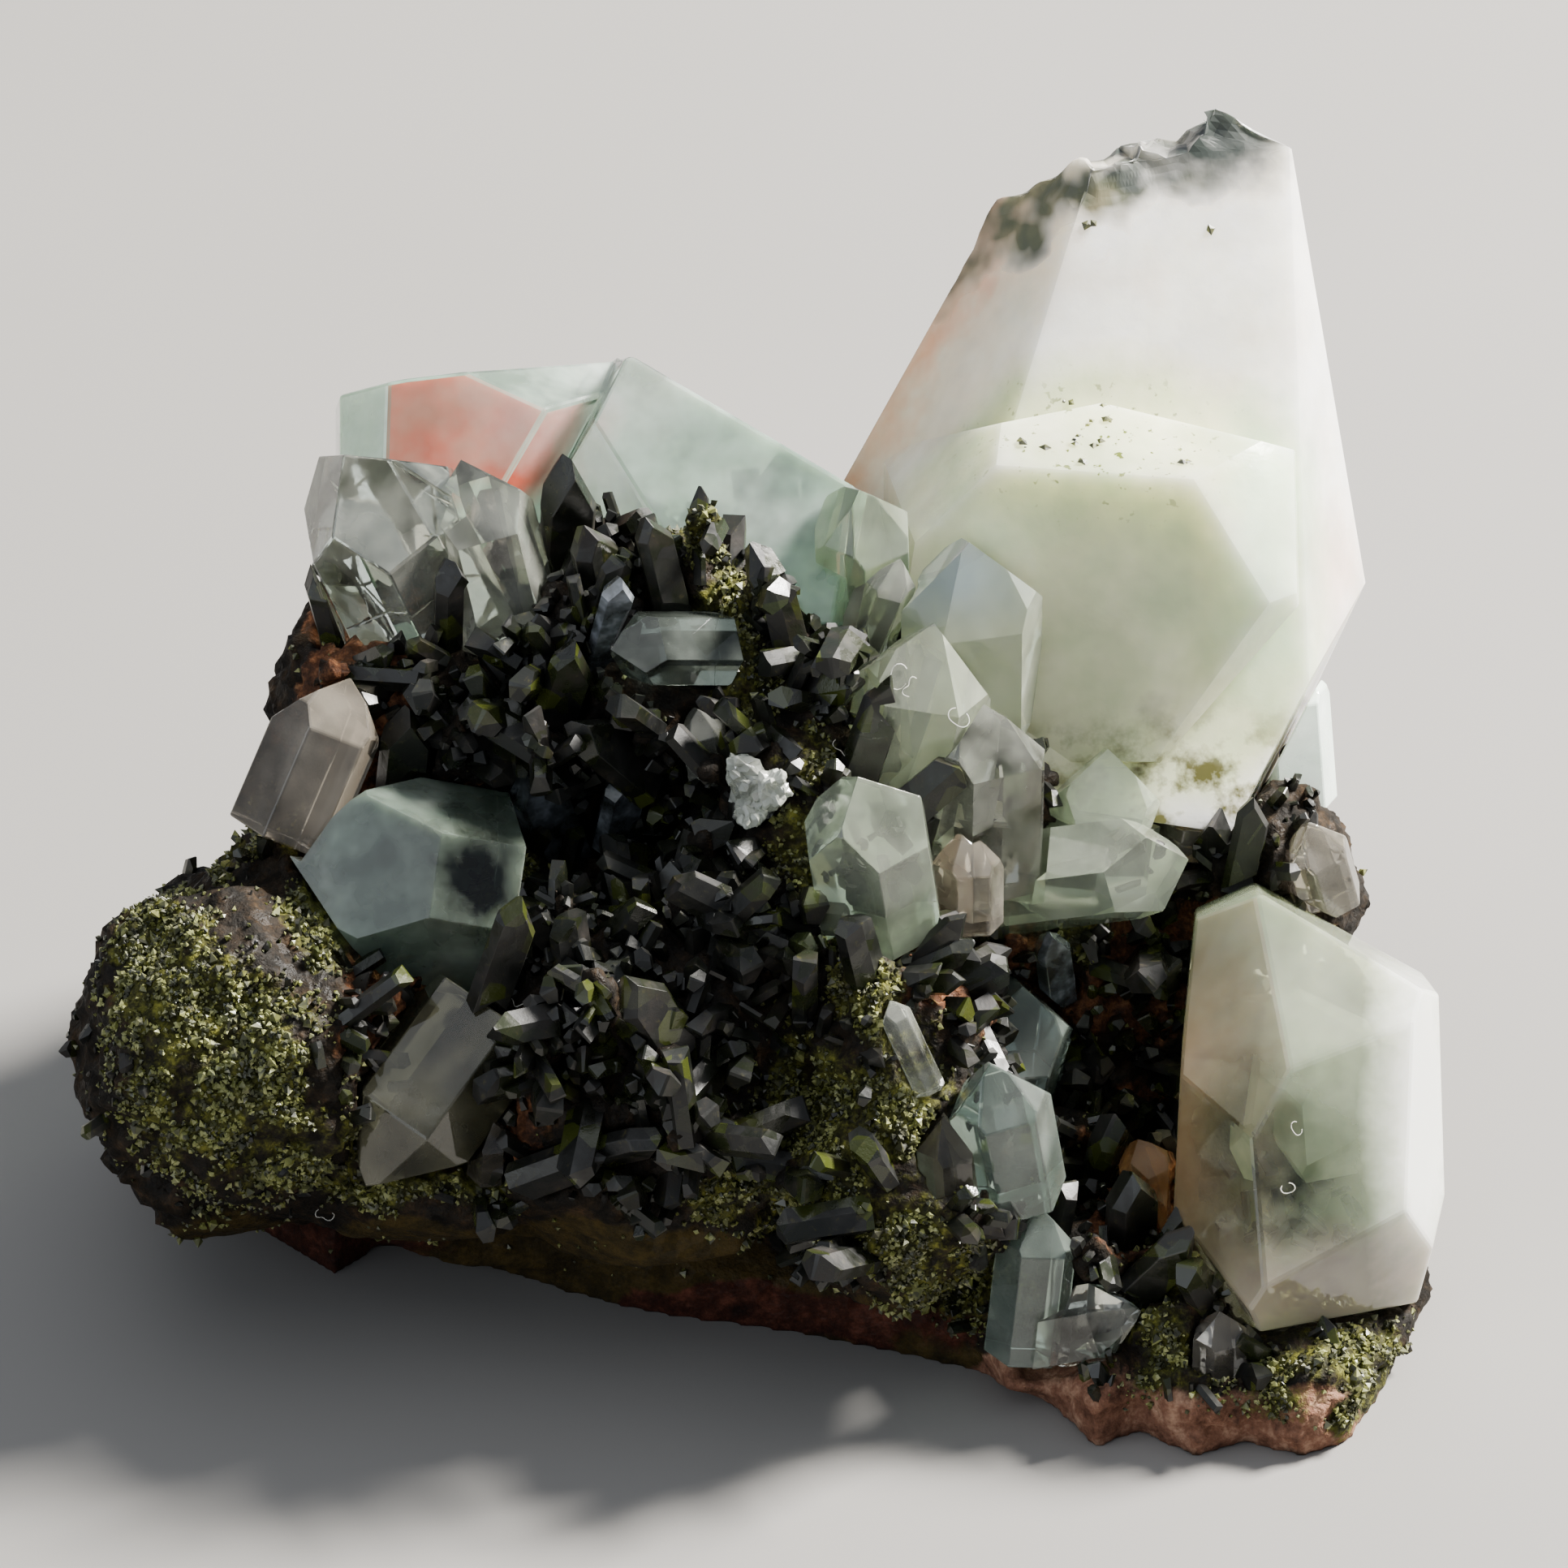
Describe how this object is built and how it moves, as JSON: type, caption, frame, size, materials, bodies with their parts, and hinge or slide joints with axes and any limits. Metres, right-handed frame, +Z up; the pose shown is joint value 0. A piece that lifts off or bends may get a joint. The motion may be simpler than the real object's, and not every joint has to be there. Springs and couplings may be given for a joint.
{
  "type": "epidote with quartz mineral specimen",
  "caption": "Natural cluster of milky and clear quartz crystals and dark green epidote blades on epidote-crusted rock, with a flat underside that it stands on.",
  "frame": {"origin": "under the middle of the specimen's bounding box, on the surface that it stands on", "axes": "+X across the show face to the viewer's right, +Y away from the viewer, +Z up from the sawn underside"},
  "size_m": [0.0564, 0.0426, 0.0405],
  "materials": {
    "crusted_rock": "rough dark rock with an olive crust of fine epidote",
    "milky_quartz": "glossy, milky and slightly green, partly see-through",
    "clear_quartz": "glossy, clear to smoky grey-green",
    "epidote": "glassy, very dark green"
  },
  "bodies": {
    "root": {"epidote_back_blade": "epidote", "epidote_crown_block": "epidote", "epidote_crown_bright": "epidote", "epidote_crown_prism": "epidote", "epidote_crown_spear": "epidote", "epidote_crown_step": "epidote", "epidote_edge_block": "epidote", "epidote_edge_spear": "epidote", "epidote_face_dark": "epidote", "epidote_face_facet": "epidote", "epidote_face_long": "epidote", "epidote_face_low": "epidote", "epidote_face_low_left": "epidote", "epidote_face_mirror": "epidote", "epidote_left_block": "epidote", "epidote_left_step": "epidote", "epidote_middle_block": "epidote", "epidote_slope_block": "epidote", "epidote_valley_blade": "epidote", "epidote_valley_block": "epidote", "epidote_valley_dark": "epidote", "epidote_valley_fan": "epidote", "epidote_valley_spear": "epidote", "matrix": "crusted_rock", "quartz_amber": "clear_quartz", "quartz_back_pebble": "clear_quartz", "quartz_back_small": "clear_quartz", "quartz_back_white": "milky_quartz", "quartz_bullet": "clear_quartz", "quartz_crumb": "clear_quartz", "quartz_cushion": "clear_quartz", "quartz_green_stub": "clear_quartz", "quartz_leaf": "clear_quartz", "quartz_left_blade": "clear_quartz", "quartz_left_bright": "clear_quartz", "quartz_left_ridge": "milky_quartz", "quartz_left_round": "clear_quartz", "quartz_lying": "clear_quartz", "quartz_middle_drop": "clear_quartz", "quartz_middle_stub": "clear_quartz", "quartz_pea": "clear_quartz", "quartz_right_block": "milky_quartz", "quartz_saddle": "clear_quartz", "quartz_smoky_stub": "clear_quartz", "quartz_splinter": "milky_quartz", "quartz_step_pair": "clear_quartz", "quartz_step_small": "clear_quartz", "quartz_tall": "milky_quartz", "quartz_under_leaf": "clear_quartz", "quartz_valley_block": "clear_quartz", "quartz_valley_low": "clear_quartz", "quartz_valley_side": "clear_quartz", "quartz_valley_tall": "clear_quartz", "quartz_white_crumb": "milky_quartz"}
  },
  "joints": []
}
